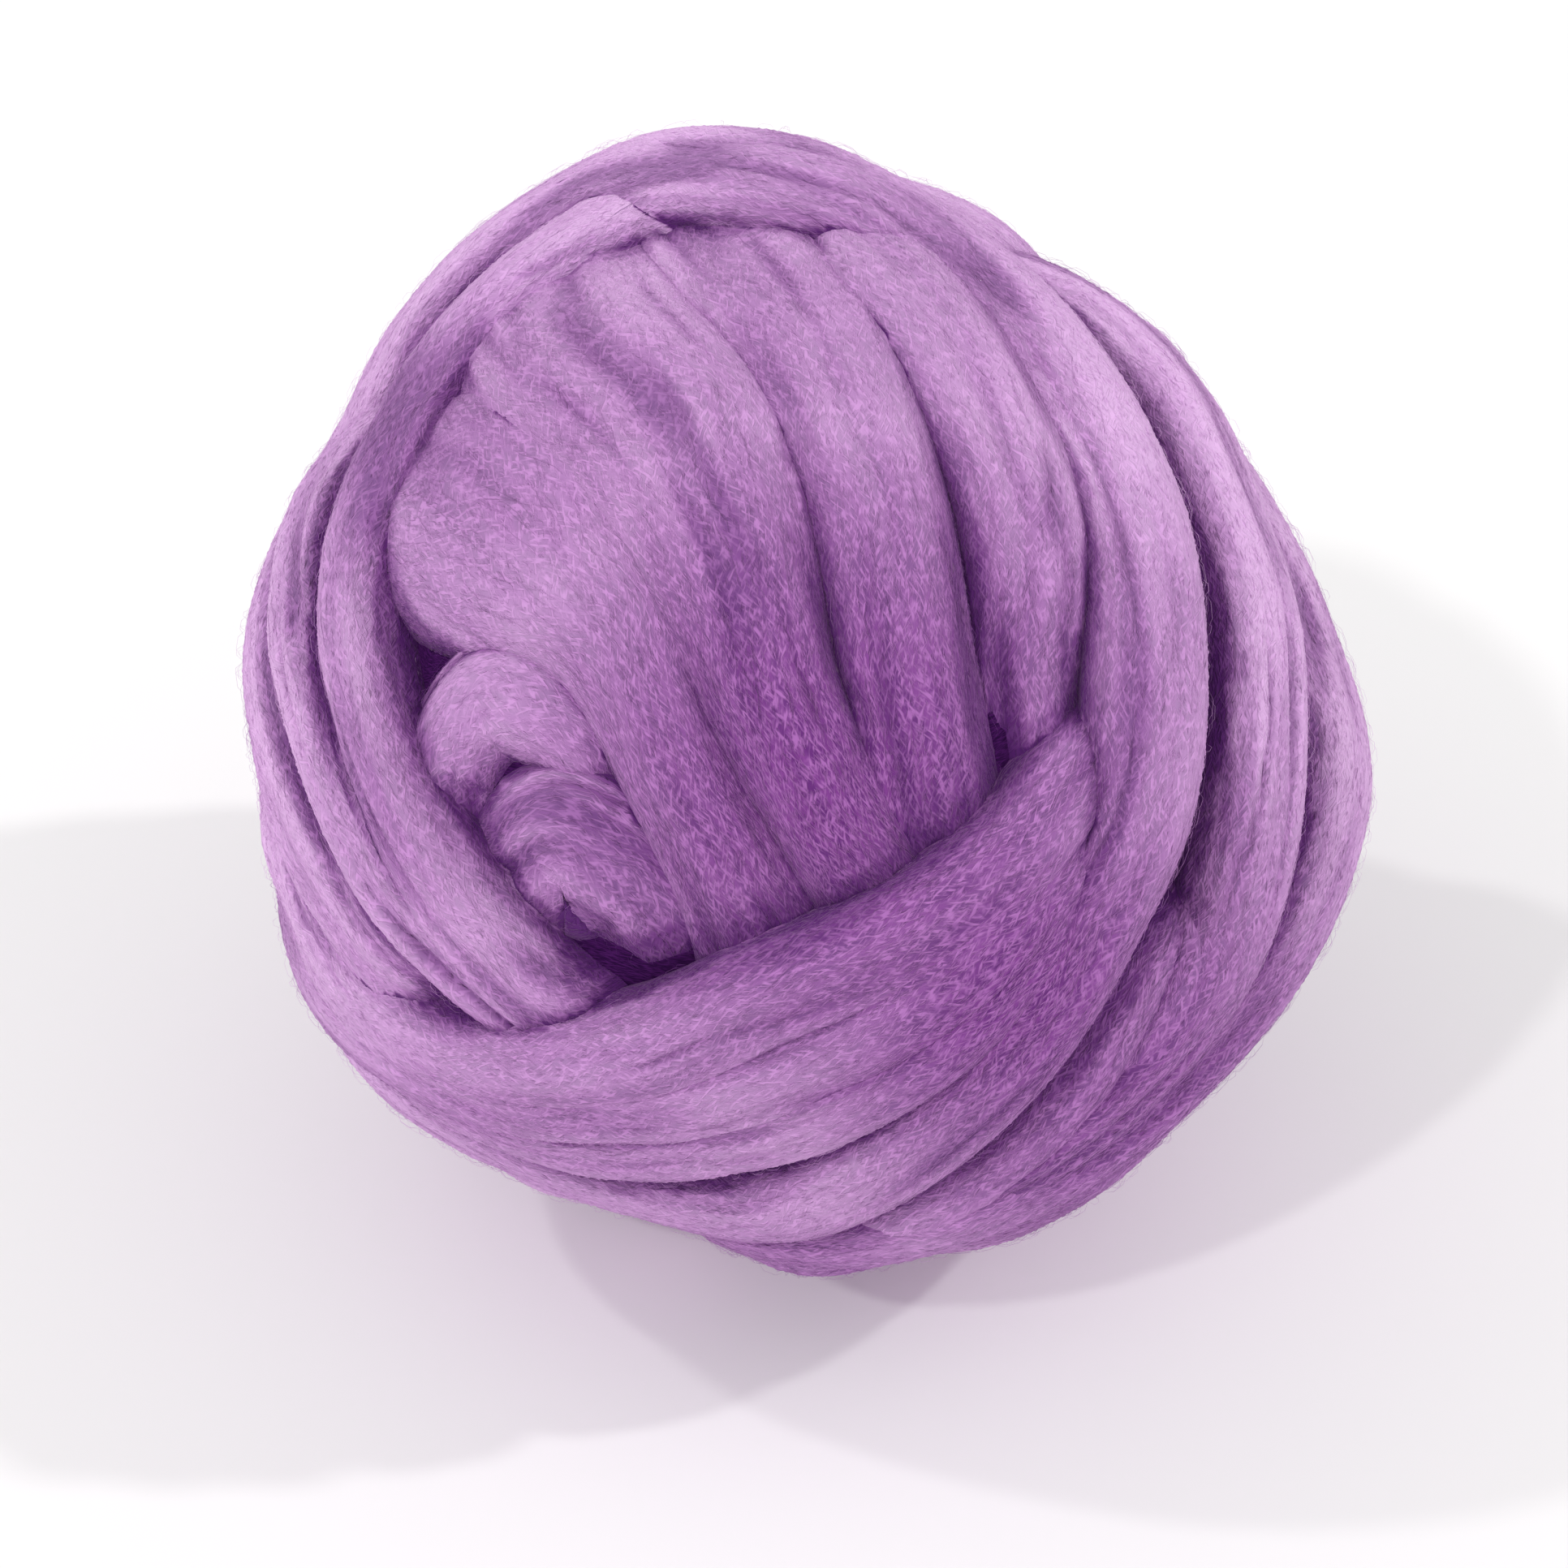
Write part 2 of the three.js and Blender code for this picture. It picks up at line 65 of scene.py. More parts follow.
# %% The table of turns
# Columns: azimuth, elevation, height of the crest, width
TURNS = {
    # older turns that fan across the open face
    "fan_left": [
        (-76, 30, 60, 44), (-54, 28, 68, 46), (-30, 18, 69.8, 38), (-19, 8, 70, 23),
        (-12, -6, 69.5, 18), (-5, -21, 67.5, 22), (0, -35, 65.5, 24), (6, -47, 58, 20),
    ],
    "fan_wide": [
        (-85, 66, 60, 40), (-56, 56, 69, 44), (-34, 44, 70, 42), (-16, 31, 70.6, 36),
        (-7, 16, 70.8, 27), (-2, 2, 70.8, 21), (3, -9, 69.5, 19), (9, -19, 67, 19),
        (18, -34, 60, 18),
    ],
    "fan_middle": [
        (-80, 80, 60, 26), (-34, 74, 69.5, 30), (-10, 60, 70.8, 30), (4, 40, 71, 26),
        (9.5, 22, 71, 22), (12, 5, 70.5, 21), (17, -13, 67, 21), (26, -29, 60, 18),
    ],
    "fan_right": [
        (0, 80, 66, 22), (16, 55, 72, 26), (24, 36, 72, 24), (27, 20, 70.5, 22),
        (27, 4, 67, 20), (29, -8, 64.5, 22), (33, -20, 58, 20),
    ],
    "knuckle_upper": [
        (-57, -27, 58, 16), (-45, -14, 65, 18), (-41, -4, 67.5, 19), (-34, 2, 68.5, 19),
        (-27, 1, 68, 19), (-21, -4, 66, 16), (-18, -13, 58, 15),
    ],
    "knuckle_lower": [
        (-55, -32, 58, 24), (-34, -19, 65.5, 29), (-26, -15, 67.5, 31), (-19, -19, 66.8, 31),
        (-14, -30, 63, 28), (-12, -38, 58, 22),
    ],
    # left rim of the face
    "rim_second": [
        (-34, -48, 62, 12), (-37, -33, 71, 12), (-46, -22, 73, 12), (-54, -10, 73, 12),
        (-61, 1, 73, 12), (-69, 12, 73, 13), (-76, 25, 72.5, 14), (-79, 37, 69, 14),
        (-80, 50, 60, 12),
    ],
    "rim_inner": [
        (-16, -36, 60, 14), (-28, -33, 69.5, 14), (-37, -24, 72, 15), (-44, -13, 73, 15),
        (-50, -1, 73, 15), (-55, 12, 73, 15), (-58, 26, 73, 15), (-59, 40, 73, 15),
        (-55, 54, 74, 15), (-44, 65, 74.5, 15), (-14, 69, 72.5, 13), (19, 72, 66, 12),
    ],
    # the long outer turn: up the left, over the top, down the right, under and round the back
    "long_outer": [
        (-45, -40, 60, 20), (-53, -31, 71, 20), (-62, -20, 72.5, 20), (-71, -8, 73, 20),
        (-78, 5, 74, 20), (-83, 18, 73, 20), (-85, 32, 71.5, 21), (-81, 45, 75, 21),
        (-75, 58, 77.5, 21), (-62, 67, 79, 22), (-30, 71, 79.5, 22), (6, 67, 78, 23),
        (28, 61, 74, 23), (37, 48, 72.5, 21), (40, 30, 73, 20), (40, 14, 74.5, 19),
        (38, 0, 76, 19), (37, -10, 76, 18), (33, -21, 75.5, 18), (27, -35, 75.5, 20),
        (16, -50, 75, 22), (-3, -62, 74, 22), (-35, -64, 71.5, 20), (-65, -52, 73, 20),
        (-90, -37, 75.2, 20), (-113, -21, 74.5, 22), (-135, -5, 75, 24), (-157, 9, 75, 24),
        (179, 20, 74.5, 24), (155, 27, 71, 22), (138, 30, 60, 18),
    ],
    # sling: strands that cross the lower part of the face and run on round the back
    "sling_rim": [
        (40, -9, 64, 11), (33, -15, 71, 12), (22, -29, 75.5, 12), (7, -41, 75.5, 13),
        (-12, -48, 74.5, 15), (-35, -51, 73, 16), (-56, -41, 75.5, 15), (-73, -31, 76, 15),
        (-92, -16, 72.5, 17), (-114, 1, 73.5, 20), (-137, 17, 74.5, 22), (-160, 29, 75, 22),
        (174, 38, 74, 22), (150, 42, 70, 20), (134, 43, 60, 16),
    ],
    "sling_second": [
        (43, -2, 60, 10), (32, -10, 70, 12), (25, -18, 74, 14), (12, -30, 75.3, 16),
        (-4, -38, 75, 16), (-24, -43, 74, 16), (-45, -42, 74.5, 15), (-63, -31, 74.5, 14),
        (-78, -18, 72.5, 14), (-94, -3, 71.5, 17), (-114, 14, 72.5, 20), (-137, 31, 74, 22),
        (-164, 44, 74.5, 22), (164, 52, 73, 20), (138, 54, 66, 18), (122, 52, 60, 14),
    ],
    "sling_inner": [
        (45, 4, 60, 14), (32, -4, 70, 13), (24, -13, 73.5, 14), (12, -22, 74.5, 15),
        (-3, -29, 74.8, 15), (-18, -36, 74.3, 15), (-35, -38, 74, 14), (-50, -36, 74, 14),
        (-63, -29, 73.2, 14), (-73, -17, 72, 13), (-84, -3, 70.5, 14), (-98, 13, 71, 18),
        (-116, 30, 72.5, 22), (-142, 46, 74, 24), (-176, 58, 74, 24), (150, 64, 72, 22),
        (120, 64, 62, 16),
    ],
    # right flank of the ball
    "flank": [
        (20, 72, 62, 16), (45, 64, 68, 20), (62, 52, 71, 22), (65, 38, 71.5, 22),
        (61, 24, 71.8, 22), (59, 12, 73.5, 22), (57, 0, 75, 22), (57, -12, 75.5, 21),
        (58, -24, 75, 18), (55, -34, 75, 16), (49, -44, 75, 16), (36, -58, 75, 16),
        (0, -78, 74, 15), (-60, -78, 68, 14),
    ],
    "flank_fold_upper": [
        (66, -8, 58, 11), (56, -18, 68.5, 12), (53, -29, 72.5, 13), (49, -41, 73.5, 13),
        (42, -54, 73, 13), (30, -66, 68, 12),
    ],
    "flank_fold_lower": [
        (66, -12, 58, 12), (53, -22, 67, 13), (46, -30, 71, 14), (42, -42, 73.3, 16),
        (36, -55, 74, 16), (20, -67, 74.5, 16), (-10, -80, 73, 16), (-80, -78, 66, 14),
    ],
    "flank_outer": [
        (62, 66, 62, 22), (75, 48, 70.5, 24), (79, 30, 68.8, 28), (80, 12, 72.5, 26),
        (79, -6, 77, 22), (74, -24, 77, 22), (65, -40, 76, 22), (50, -56, 75.8, 22),
        (10, -70, 75.2, 20), (-50, -72, 70, 18),
    ],
    # back of the ball
    "back_first": [
        (66, 74, 60, 20), (92, 54, 70.5, 22), (98, 30, 70.5, 25), (99, 5, 74.5, 26),
        (95, -20, 75.5, 26), (84, -44, 74.5, 25), (52, -66, 75.5, 22), (-20, -80, 68, 18),
    ],
    "back_second": [
        (80, 84, 62, 20), (112, 62, 71, 24), (118, 34, 72.5, 27), (119, 5, 75, 27),
        (115, -24, 75.5, 27), (102, -50, 75, 26), (60, -74, 73, 22), (-30, -86, 62, 18),
    ],
    "back_third": [
        (150, 80, 62, 20), (137, 60, 71, 26), (138, 32, 73, 27), (139, 4, 74.5, 27),
        (135, -26, 75, 27), (122, -54, 74.5, 26), (60, -84, 71, 20),
    ],
    "back_fourth": [
        (175, 66, 60, 22), (160, 46, 70, 26), (160, 20, 72, 26), (160, -6, 74, 26),
        (156, -34, 74, 28), (138, -62, 74, 26), (60, -88, 66, 20),
    ],
    "back_left": [
        (-30, -84, 64, 20), (-78, -66, 70.5, 22), (-112, -48, 73.5, 26), (-138, -29, 74.5, 27),
        (-160, -12, 74.5, 27), (178, 0, 73, 24), (160, 8, 64, 20),
    ],
    "back_low": [
        (-90, -84, 66, 20), (-130, -66, 73.5, 27), (-158, -46, 74.5, 28), (-177, -28, 74.5, 28),
        (167, -14, 72, 24), (152, -6, 62, 20),
    ],
    "crown_front": [
        (-100, 8, 60, 16), (-107, 27, 71, 20), (-109, 46, 73.5, 22), (-104, 65, 74, 22),
        (-84, 82, 74.5, 23), (66, 81, 71.5, 23), (62, 66, 68, 20), (54, 55, 60, 16),
    ],
    "crown_back": [
        (-122, 42, 60, 20), (-128, 58, 72.5, 23), (-140, 73, 74, 24), (140, 84, 74.5, 25),
        (96, 76, 73, 24), (84, 62, 69.5, 22), (80, 50, 60, 18),
    ],
    # broad flat layers under the flank, the back, the crown and the foot
    "under_flank": [
        (58, 60, 60, 30), (70, 40, 67.5, 40), (73, 15, 68.8, 40), (73, -10, 68.8, 38),
        (70, -32, 62, 30),
    ],
    "under_back": [
        (-104, 0, 64, 50), (-140, 0, 71, 90), (180, 0, 71.5, 100), (140, 0, 71, 90),
        (104, 0, 64, 50),
    ],
    "under_crown": [
        (-100, 60, 66, 40), (-150, 78, 71, 46), (140, 78, 70, 46), (88, 60, 64, 40),
    ],
    "under_foot": [
        (-75, -68, 66, 36), (-150, -66, 73.4, 60), (180, -55, 73.6, 64), (150, -56, 73.4, 60),
        (70, -70, 68, 40),
    ],
}
# Turns that lie side by side melt together further than turns that cross.
# Columns: how far they melt, in millimetres, and the turns
NEIGHBOURS = (
    (1.1, ("fan_left", "fan_wide", "fan_middle")),
    (1, ("rim_second", "rim_inner")),
    (1.2, ("sling_rim", "sling_second", "sling_inner")),
)
print(len(TURNS), "turns,", sum(len(rows) for rows in TURNS.values()), "rows")

# %% Sizes of the winding
FACE_LEAN = math.radians(35)  # the open face is tipped up by this much
WINDING_MIDDLE = np.array([-1.55, 0.27, 71.6]) * MM
TURN_DEPTH = 9 * MM  # from the crest of a turn down to its edges
TURN_BELLY = 4 * MM  # from its edges down to its underside
TURN_FULLNESS = 2.4  # 2 is an elliptic section, more is flatter on top
SAG = 2.0 * MM  # wool lower than this is pressed together by the ball's weight
SECTION_STEP = math.radians(1.0)
CORE_RADIUS = 64 * MM


def leaned(points):
    """Turns points from the open face's own axes to the part's and moves them to their place."""
    x, y, z = points[..., 0], points[..., 1], points[..., 2]
    across, up = math.sin(FACE_LEAN), math.cos(FACE_LEAN)
    return np.stack([x, y * across - z * up, y * up + z * across], -1) + WINDING_MIDDLE


def rested(points):
    """Presses what would reach below the surface into the lowest few millimetres."""
    flat = points.copy()
    z = points[..., 2]
    flat[..., 2] = np.where(z < SAG, SAG * np.exp(np.minimum(z - SAG, 0) / SAG), z)
    return flat


def unit(vectors):
    return vectors / np.maximum(np.linalg.norm(vectors, axis=-1, keepdims=True), 1e-12)


# %% A smooth line through the rows of a turn
def sections_of(rows):
    """Evenly spaced sections: place on the unit ball, side, crest, width, distance along."""
    rows = np.array(rows, float)
    azimuth, elevation = np.radians(rows[:, 0]), np.radians(rows[:, 1])
    level = np.cos(elevation)
    places = np.stack([np.sin(azimuth) * level, np.sin(elevation), np.cos(azimuth) * level], 1)
    knots = np.column_stack([places, rows[:, 2:] * MM])
    gaps = np.arccos(np.clip((places[1:] * places[:-1]).sum(1), -1, 1))
    slopes = np.diff(knots, axis=0) / gaps[:, None]
    tangents = np.vstack([slopes[:1], np.zeros((len(rows) - 2, 5)), slopes[-1:]])
    before, after = gaps[:-1, None], gaps[1:, None]
    tangents[1:-1] = (after * slopes[:-1] + before * slopes[1:]) / (before + after)
    starts = np.concatenate([[0], np.cumsum(gaps)])
    run = np.linspace(0, starts[-1], round(starts[-1] / SECTION_STEP) + 1)
    i = np.clip(np.searchsorted(starts, run, side="right") - 1, 0, len(gaps) - 1)
    gap = gaps[i, None]
    u = (run - starts[i])[:, None] / gap
    line = (
        (2 * u**3 - 3 * u**2 + 1) * knots[i]
        + (u**3 - 2 * u**2 + u) * gap * tangents[i]
        + (3 * u**2 - 2 * u**3) * knots[i + 1]
        + (u**3 - u**2) * gap * tangents[i + 1]
    )
    place = unit(line[:, :3])
    side = unit(np.cross(place, np.gradient(place, axis=0)))
    return place, side, line[:, 3], line[:, 4], run * line[:, 3].mean()


# %% [markdown]
# ## Folds
# Combed wool parts along its fibres. Each turn therefore has folds that run along it,
# wander a little and die out: a few narrow valleys where the wool has split, and softer
# ridges between them. They are worked out from random values on a coarse grid that is long
# along the turn and fine across it, blended smoothly. A texture could fake them, but real
# relief casts real shadows and stays in the mesh. The same relief later paints shade into
# the valleys and a highlight onto the ridges.

# %% Random values that change smoothly
def ripple(rng, along, across, run, gap):
    """Values from -1 to 1 that change over run metres along and gap metres across."""
    u = (along - along.min()) / run
    v = (across - across.min()) / gap
    table = rng.uniform(-1, 1, (int(u.max()) + 2, int(v.max()) + 2))
    i, j = u.astype(int), v.astype(int)
    a, b = u - i, v - j
    a, b = a * a * (3 - 2 * a), b * b * (3 - 2 * b)
    near = table[i, j] * (1 - b) + table[i, j + 1] * b
    far = table[i + 1, j] * (1 - b) + table[i + 1, j + 1] * b
    return near * (1 - a) + far * a


# Each kind of relief: how far it runs along the turn and how far it changes across it
SPLITS, SPLIT_WANDER = (48 * MM, 4.6 * MM), (14 * MM, 2 * MM)
FOLD_PARTS, FOLD_DEPTH = (26 * MM, 8 * MM), 1.2 * MM
RIDGES, RIDGE_HEIGHT = (34 * MM, 2.8 * MM), 0.5 * MM
LUMPS, LUMP_HEIGHT = (15 * MM, 11 * MM), 0.35 * MM
WISPS, WISP_HEIGHT = (8 * MM, 1.2 * MM), 0.13 * MM
FOLD_SHARPNESS = 0.22  # smaller makes narrower valleys
FOLD_SHARE = 0.35  # larger leaves fewer breaks in them


def relief(rng, along, across):
    """Height of the folds, ridges, lumps and wisps of a turn."""
    split = ripple(rng, along, across, *SPLITS)
    split += 0.25 * ripple(rng, along, across, *SPLIT_WANDER)
    deep = np.clip(FOLD_SHARE + ripple(rng, along, across, *FOLD_PARTS), 0, 1)
    folds = -FOLD_DEPTH * deep * np.exp(-((split / FOLD_SHARPNESS) ** 2))
    ridges = RIDGE_HEIGHT * ripple(rng, along, across, *RIDGES)
    lumps = LUMP_HEIGHT * ripple(rng, along, across, *LUMPS)
    wisps = WISP_HEIGHT * ripple(rng, along, across, *WISPS)
    return folds + ridges + lumps + wisps


# %% [markdown]
# ## A turn as a grid of points
# Across its path a turn is a flattened round: full on top, flatter below. The points run
# once round that section, with most of them on top where they show. The grid is kept, as
# the fibres are laid on it later. A spline with a bevel would be quicker to make, but its
# section couldn't carry the folds.

# %% Points of a turn
TOP_POINTS = 32
UNDER_POINTS = 8
ROUND_TO_HALF = 2.6  # way round the section over half its width
WIDTH_CHANGE, WIDTH_RUN = 0.04, 24 * MM  # a turn swells and thins by this share
FLAT_FOLD_LIGHT = 0.6  # painted light of flat wool, where 0 is painted shade in a valley and 1 a painted highlight on a ridge
FOLD_LIGHT_RELIEF = 2 * MM  # height that takes the painted light from 0 to 1
STREAKS, STREAK_CHANGE = (22 * MM, 1.8 * MM), 0.22


def turn_grid(line, rng):
    """Points of a turn on the open face's axes, distances along and across, and the painted light
    of its folds, with random bands of tone.
    """
    place, side, crest, width, run = line
    level = np.zeros_like(run)
    width = width * (1 + WIDTH_CHANGE * ripple(rng, run, level, WIDTH_RUN, 1))
    around = np.concatenate(
        [
            np.linspace(-90, 0, UNDER_POINTS // 2, endpoint=False),
            np.linspace(0, 180, TOP_POINTS, endpoint=False),
            np.linspace(180, 270, UNDER_POINTS // 2 + 1),
        ]
    )
    cosine, sine = np.cos(np.radians(around)), np.sin(np.radians(around))
    aside = np.sign(cosine) * np.abs(cosine) ** (2 / TURN_FULLNESS)
    half = width / 2
    left = np.clip(np.minimum(run, run[-1] - run) / half, 0, 1)
    closing = np.sqrt(1 - (1 - left) ** 2)[:, None]
    across = half[:, None] * aside * closing
    along = np.broadcast_to(run[:, None], across.shape)
    rise = np.where(sine > 0, TURN_DEPTH, TURN_BELLY) * sine * closing
    height = relief(rng, along, across)
    rise = rise + height * np.sqrt(np.clip(sine, 0, 1)) * closing
    radius = (crest[:, None] - TURN_DEPTH + rise)[..., None]
    angle = (across / crest[:, None])[..., None]
    points = (np.cos(angle) * place[:, None] + np.sin(angle) * side[:, None]) * radius
    girth = np.concatenate([[0], np.cumsum(np.abs(np.diff(around)))]) / 360
    perimeter = np.broadcast_to(girth * ROUND_TO_HALF * half.mean(), across.shape)
    # Painted light of the folds: shade in the valleys, a highlight on the ridges, and random
    # streaks of tone on top
    fold_lights_and_streaks = FLAT_FOLD_LIGHT + height / FOLD_LIGHT_RELIEF
    fold_lights_and_streaks = fold_lights_and_streaks + STREAK_CHANGE * ripple(rng, along, across, *STREAKS)
    return points, np.stack([along, perimeter], -1), np.clip(fold_lights_and_streaks, 0, 1)


# %% [markdown]
# ## Melting neighbours together
# Soft wool leaves no sharp line where two turns lie side by side: their fibres mingle and
# the crease fills up. So each point is lifted a little where another turn is about as high,
# which rounds the crease, and more so between turns that lie along each other.

# %% Lift the points beside a crease
CROSSING_SOFTNESS = 0.45 * MM


def height_over(line, directions):
    """Height of a turn over the middle of the ball, or 0 where it doesn't reach."""
    place, side, crest, width, _ = line
    near = directions @ place.T
    nearest = near.argmax(1)
    offset = np.arcsin(np.clip(np.abs((directions * side[nearest]).sum(1)), 0, 1))
    ends = (nearest == 0) | (nearest == len(place) - 1)
    straight = np.arccos(np.clip(near[np.arange(len(near)), nearest], -1, 1))
    offset = np.where(ends, straight, offset)
    across = offset * crest[nearest] / (width[nearest] / 2)
    drop = TURN_DEPTH * (1 - np.sqrt(np.clip(1 - across**TURN_FULLNESS, 0, 1)))
    return np.where(across < 1, crest[nearest] - drop, 0)


def softness_between(one, two):
    """How far the crease between two turns is filled."""
    for softness, names in NEIGHBOURS:
        if one in names and two in names:
            return softness * MM
    return CROSSING_SOFTNESS


def melted(name, points, lines):
    """The points of a turn, lifted beside its creases, and how deep each lies under others."""
    radius = np.linalg.norm(points, axis=-1).ravel()
    directions = points.reshape(-1, 3) / radius[:, None]
    lift = np.zeros_like(radius)
    above = radius.copy()
    for other, line in lines.items():
        if other != name:
            softness = softness_between(name, other)
            height = height_over(line, directions)
            gap = np.abs(radius - height)
            lift = np.maximum(lift, softness * np.log1p(np.exp(-gap / softness)))
            above = np.maximum(above, height)
    lifted = (directions * (radius + lift)[:, None]).reshape(points.shape)
    return lifted, (above - radius).reshape(points.shape[:2])


def normals_of(points):
    """Outward directions of a grid of points, and the area round each."""
    normal = np.cross(np.gradient(points, axis=0), np.gradient(points, axis=1))
    size = np.linalg.norm(normal, axis=-1, keepdims=True)
    crest = points.shape[1] // 2
    outward = ((points - WINDING_MIDDLE) * normal)[:, crest].sum()
    return np.sign(outward) * normal / np.maximum(size, 1e-12), size[..., 0]


lines = {name: sections_of(rows) for name, rows in TURNS.items()}
grids = {}
for number, (name, line) in enumerate(lines.items()):
    points, distances, fold_lights_and_streaks = turn_grid(line, np.random.default_rng(number))
    points, buried = melted(name, points, lines)
    points = rested(leaned(points))
    normals, areas = normals_of(points)
    grids[name] = {
        "points": points,
        "distances": distances,
        "fold_lights_and_streaks": fold_lights_and_streaks,
        "normals": normals,
        "areas": areas,
        "buried": buried,
    }
print("grid points:", sum(grid["areas"].size for grid in grids.values()))

# %% [markdown]
# ## How much shade each place gets, to be painted into its colour
# Between two turns the wool is darker and its colour deeper, because light only reaches it
# after it has bounced off other purple fibres. The renderer works out most of that, but not
# the bounces inside the wool. So rays measure how much of the sky close neighbours hide, and
# that share is painted into the colour as shade. Painted shade also goes into the middle of the
# open face and a few places round it. Each point of the grid gets both values, and the painted
# light of its folds from the relief.
# Painting the colour by hand would work as well, but would be lost when a turn moves.

# %% Measure the shade
SHADE_REACH = 13 * MM
# Columns: degrees off straight out, rays there, and the step at which the first one stands
RAY_TILTS = ((0, 1, 0), (35, 4, 0), (62, 7, 0.5))
RAY_START = 0.25 * MM  # height of a ray's start over the wool
SEEN_DEPTH = 3 * MM  # places deeper than this under another turn get no rays
UNSEEN_SHADE = 0.6  # their value


def joined_tree():
    """All the turns as one tree that rays can be cast at."""
    corners, faces = [], []
    for grid in grids.values():
        rows, columns = grid["areas"].shape
        start = sum(len(part) for part in corners)
        index = start + np.arange(rows * columns).reshape(rows, columns)
        square = [index[:-1, :-1], index[1:, :-1], index[1:, 1:], index[:-1, 1:]]
        faces += np.stack(square, -1).reshape(-1, 4).tolist()
        corners.append(grid["points"].reshape(-1, 3))
    return BVHTree.FromPolygons(np.concatenate(corners).tolist(), faces)


def rays_round_z():
    """Directions round +Z, the straight one first."""
    rays = []
    for tilt, count, first in RAY_TILTS:
        for k in range(count):
            turn = 2 * math.pi * (k + first) / count
            t = math.radians(tilt)
            rays.append((math.sin(t) * math.cos(turn), math.sin(t) * math.sin(turn), math.cos(t)))
    return rays


def hidden_share(tree, rays, place, normal):
    """Share of the rays from a place that soon meet wool."""
    one = normal.orthogonal().normalized()
    two = normal.cross(one)
    met = [
        tree.ray_cast(place, one * x + two * y + normal * z, SHADE_REACH)[0] is not None
        for x, y, z in rays
    ]
    return sum(met) / len(met)


def shade_of(grid, outward, tree, rays):
    """Share of the sky that is hidden from each point of a turn's grid."""
    rows, columns = grid["areas"].shape
    buried = grid["buried"][..., None]
    starts = grid["points"] + outward * (buried + RAY_START)
    normals = unit(grid["normals"] + outward * buried / MM)
    shade = np.full((rows, columns), UNSEEN_SHADE)
    for i in range(1, rows - 1):
        for j in range(UNDER_POINTS // 2, columns - UNDER_POINTS // 2):
            if buried[i, j] < SEEN_DEPTH:
                shade[i, j] = hidden_share(tree, rays, Vector(starts[i, j]), Vector(normals[i, j]))
    return shade


# %% Places of painted shade
# Painted shade is put round these places. Columns: azimuth and elevation on the open face,
# degrees off the place where the colour is back to normal, and strength
PAINTED_SHADE_PLACES = (
    (4, -6, 56, 1),
    (50, -42, 50, 0.85),
    (24, -27, 38, 1),
    (6, -74, 32, 0.7),
    (-34, -44, 46, 0.5),
    (-40, -8, 30, 0.5),
    (-35, 24, 48, 0.5),
    (4, 42, 38, 0.45),
)
FULL_WITHIN = 0.05  # share of a place's reach over which its painted shade stays full
BURIED = 0.03 * MM  # a place this far under another turn carries no fibres


def face_direction(azimuth, elevation):
    """A direction from the middle of the ball, given on the open face."""
    a, e = math.radians(azimuth), math.radians(elevation)
    out = np.array([math.sin(a) * math.cos(e), math.sin(e), math.cos(a) * math.cos(e)])
    return leaned(out) - WINDING_MIDDLE


def painted_shade_spot_of(outward):
    """How near each direction is to the places of painted shade, from 0 to 1."""
    painted_shade_spot = np.zeros(outward.shape[:2])
    for azimuth, elevation, reach, strength in PAINTED_SHADE_PLACES:
        towards = np.clip(outward @ face_direction(azimuth, elevation), -1, 1)
        near = np.clip(1 + FULL_WITHIN - np.degrees(np.arccos(towards)) / reach, 0, 1)
        painted_shade_spot = np.maximum(painted_shade_spot, strength * near * near * (3 - 2 * near))
    return painted_shade_spot


tree = joined_tree()
rays = rays_round_z()
for grid in grids.values():
    outward = unit(grid["points"] - WINDING_MIDDLE)
    shade = shade_of(grid, outward, tree, rays)
    # The values for painted shade and highlights: crease shade, the places of painted shade and the
    # folds
    grid["depths"] = np.stack([shade, painted_shade_spot_of(outward), grid["fold_lights_and_streaks"]], -1)
    half = grid["areas"].shape[1] // 2
    on_top = np.abs(np.arange(grid["areas"].shape[1]) - half) < half - UNDER_POINTS // 2
    grid["covered"] = (grid["buried"] > BURIED) | ~on_top
print("open share:", np.mean([1 - grid["covered"].mean() for grid in grids.values()]).round(2))


# %% [markdown]
# ## Meshes of the turns
# A flat grid from `create_grid` is rolled round into each turn. Merging the points that
# fall on each other then closes the seam below and the two ends. Each turn has a map of
# its own in metres, along and across the wool, which its material follows. A second map,
# `OFBake`, is the flat grid itself, for baking the colours into.

# %% Make the turns
# Names of the values that paint light and shade into the colour
PAINTED_LIGHT_KEYS = ("shade", "painted_shade_spot", "fold_light_and_streak")
MERGE_WITHIN = 0.002 * MM


def made_object(name, bm):
    """A smooth object from a bmesh, at the origin."""
    mesh = bpy.data.meshes.new(name)
    bm.to_mesh(mesh)
    bm.free()
    mesh.shade_smooth()
    piece = bpy.data.objects.new(name, mesh)
    bpy.context.scene.collection.objects.link(piece)
    return piece


